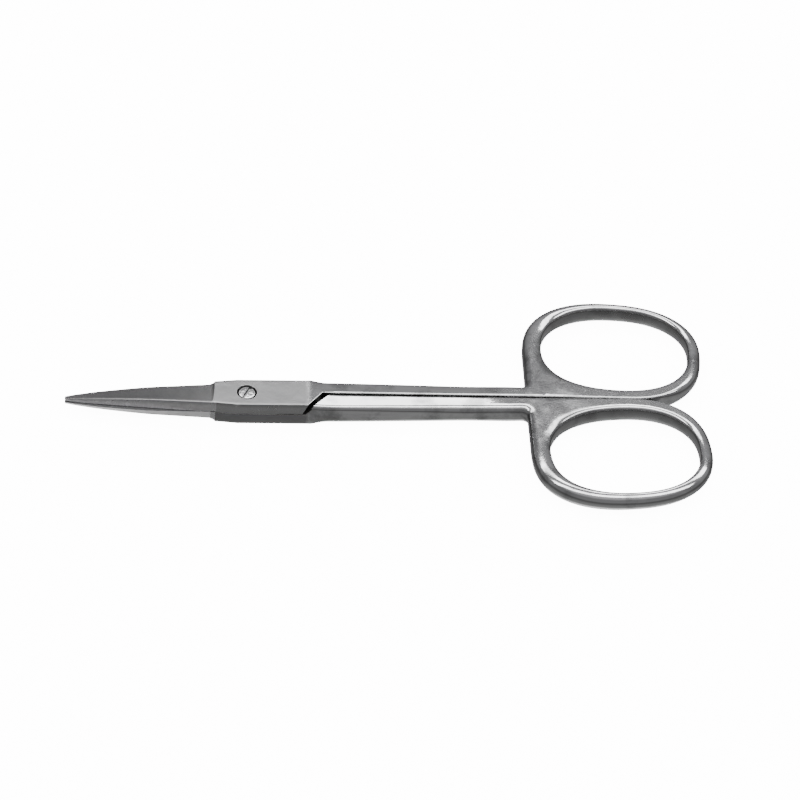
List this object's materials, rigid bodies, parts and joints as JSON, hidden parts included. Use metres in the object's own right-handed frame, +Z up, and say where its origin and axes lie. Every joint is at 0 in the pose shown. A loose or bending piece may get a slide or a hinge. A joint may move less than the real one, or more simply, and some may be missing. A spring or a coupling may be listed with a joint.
{
  "type": "cuticle scissors",
  "caption": "Small straight steel scissors for cuticles and nails, with slim ground blades, a slotted pivot screw and oval finger rings.",
  "frame": {"origin": "on the pivot axis, in the flat underside of the joint", "axes": "+X from the pivot to the finger rings, +Y to the upper half's ring, +Z up through the joint"},
  "size_m": [0.0892, 0.0396, 0.0037],
  "materials": {
    "polished_steel": "polished shanks and rings, satin joint flats, finely ground blades",
    "screw_steel": "bright turned steel"
  },
  "bodies": {
    "lower": {"lower_half": "polished_steel", "pivot_screw": "screw_steel"},
    "upper": {"upper_half": "polished_steel"}
  },
  "joints": [
    {"name": "pivot", "type": "hinge", "parent": "lower", "child": "upper", "pos_m": [0, 0, 0], "axis": [0, 0, 1], "range_deg": [0, 145]}
  ]
}
